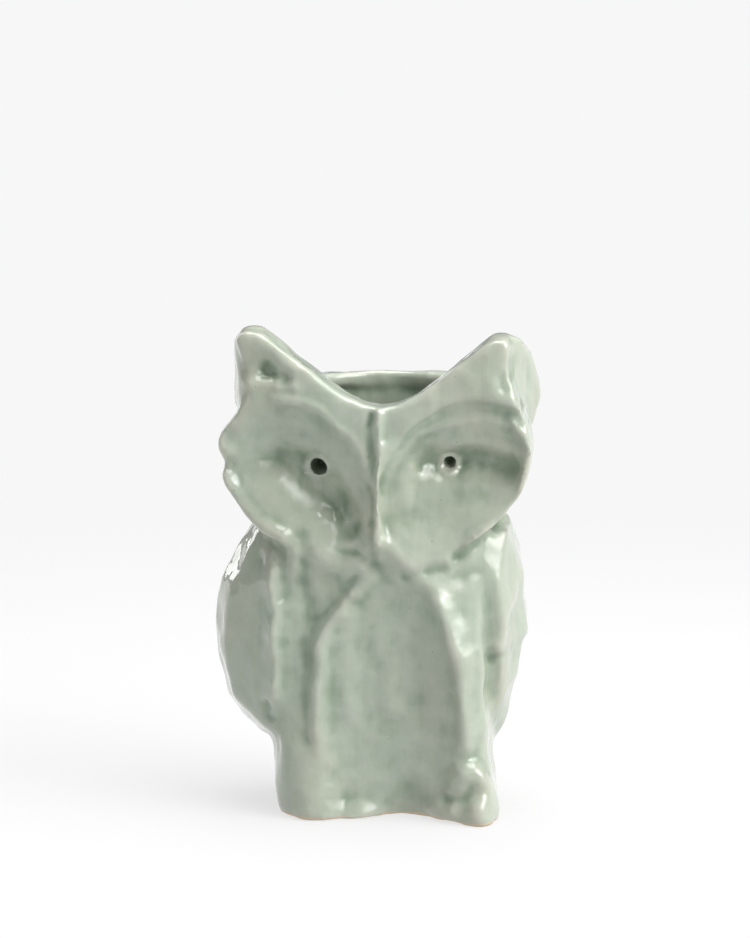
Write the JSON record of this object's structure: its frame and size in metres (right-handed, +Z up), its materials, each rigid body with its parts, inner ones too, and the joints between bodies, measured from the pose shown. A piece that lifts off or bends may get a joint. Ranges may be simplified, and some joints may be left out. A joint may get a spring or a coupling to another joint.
{
  "type": "owl vase",
  "caption": "Hollow hand-built ceramic owl with a round open mouth between its ear tufts, scooped eye discs, a ridged beak, folded wings and two feet.",
  "frame": {"origin": "on the surface it stands on, under the middle of the round mouth", "axes": "+Z up, the owl faces -Y, and its own left is at +X"},
  "size_m": [0.168, 0.1111, 0.249],
  "materials": {
    "celadon_glaze": "glossy",
    "bare_clay": "matte"
  },
  "bodies": {
    "root": {"floor_slab": "bare_clay", "torso_wall": "celadon_glaze", "head_wall": "celadon_glaze", "crown_slab": "celadon_glaze", "beak_ridge": "celadon_glaze", "right_brow": "celadon_glaze", "left_brow": "celadon_glaze", "right_face_disc": "celadon_glaze", "left_face_disc": "celadon_glaze", "right_eye_ring": "celadon_glaze", "left_eye_ring": "celadon_glaze", "right_ear_tuft": "celadon_glaze", "left_ear_tuft": "celadon_glaze", "breast_panel": "celadon_glaze", "right_leg": "celadon_glaze", "left_leg": "celadon_glaze", "right_foot": "celadon_glaze", "left_foot": "celadon_glaze", "right_wing": "celadon_glaze", "left_wing": "celadon_glaze"}
  },
  "joints": []
}
